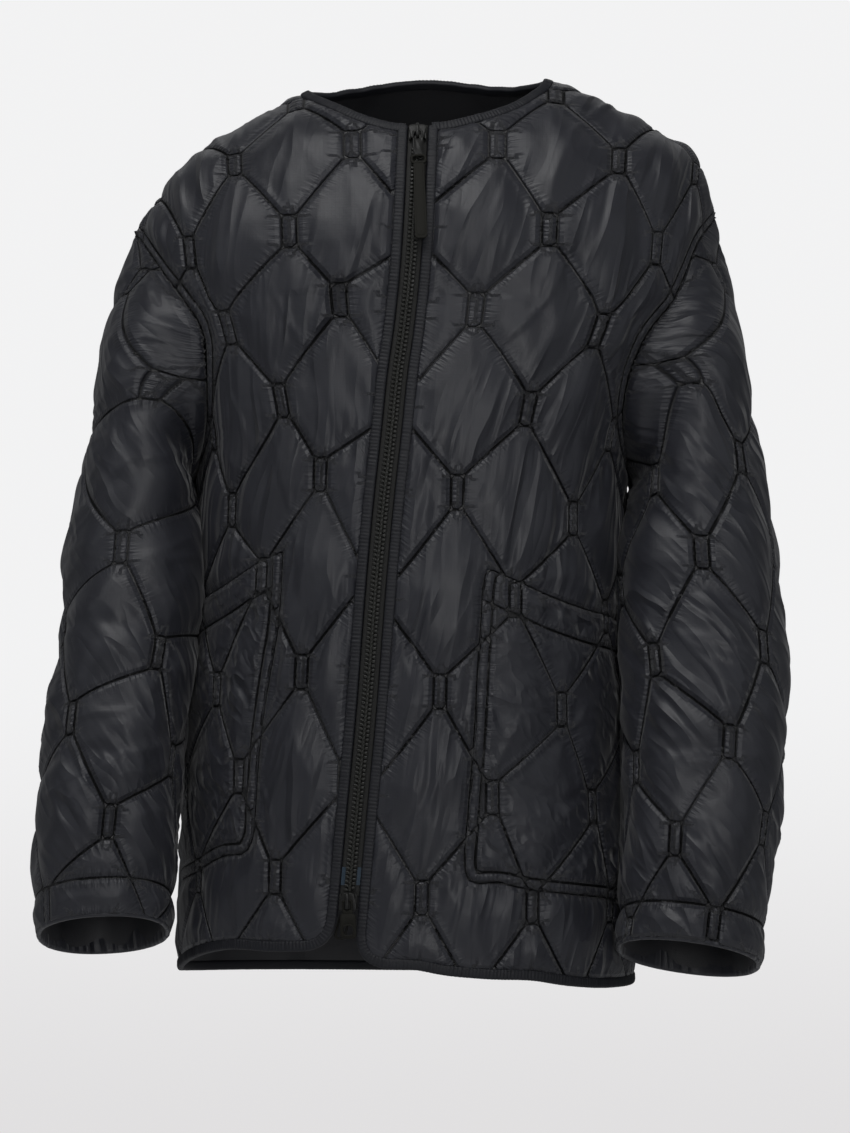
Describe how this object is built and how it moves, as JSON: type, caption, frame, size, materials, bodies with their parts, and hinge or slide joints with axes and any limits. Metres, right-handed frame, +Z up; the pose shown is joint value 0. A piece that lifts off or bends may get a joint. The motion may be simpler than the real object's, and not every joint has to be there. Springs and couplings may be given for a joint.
{
  "type": "quilted jacket",
  "caption": "Collarless quilted liner jacket, worn hollow form, black nylon, two-way front zip, bound edges, two slanted patch pockets.",
  "frame": {"origin": "the mount shoulder_hold: on the centre plane of the wearer's neck, level with the back of the neck seam", "axes": "+Z up, front of the jacket toward -Y, wearer's left toward +X"},
  "size_m": [0.6061, 0.3262, 0.7495],
  "materials": {
    "black_nylon": "soft sheen, fine ripstop",
    "black_binding": "soft sheen, puckered",
    "zip_tape": "matte woven",
    "zip_plastic": "satin",
    "painted_metal": "satin black",
    "pull_rubber": "matte"
  },
  "bodies": {
    "jacket": {"back": "black_nylon", "front_right": "black_nylon", "front_left": "black_nylon", "sleeve_right": "black_nylon", "sleeve_left": "black_nylon", "pocket_right": "black_nylon", "pocket_left": "black_nylon", "edge_binding": "black_binding", "neck_binding": "black_binding", "zip_tape_right": "zip_tape", "zip_tape_left": "zip_tape", "zip_teeth": "zip_plastic", "top_slider": "painted_metal", "bottom_slider": "painted_metal", "bottom_pull_inside": "pull_rubber"},
    "top_pull_tab": {"top_pull": "pull_rubber"},
    "bottom_pull_tab": {"bottom_pull": "pull_rubber"}
  },
  "joints": [
    {"name": "top_pull_swing", "type": "hinge", "parent": "jacket", "child": "top_pull_tab", "pos_m": [-0.00596, -0.1123, -0.04777], "axis": [-0.9997, 0.0209, -0.0148], "range_deg": [0, 120]},
    {"name": "bottom_pull_swing", "type": "hinge", "parent": "jacket", "child": "bottom_pull_tab", "pos_m": [-0.06069, -0.17643, -0.65483], "axis": [-0.9886, 0.1483, 0.025], "range_deg": [0, 120]}
  ]
}
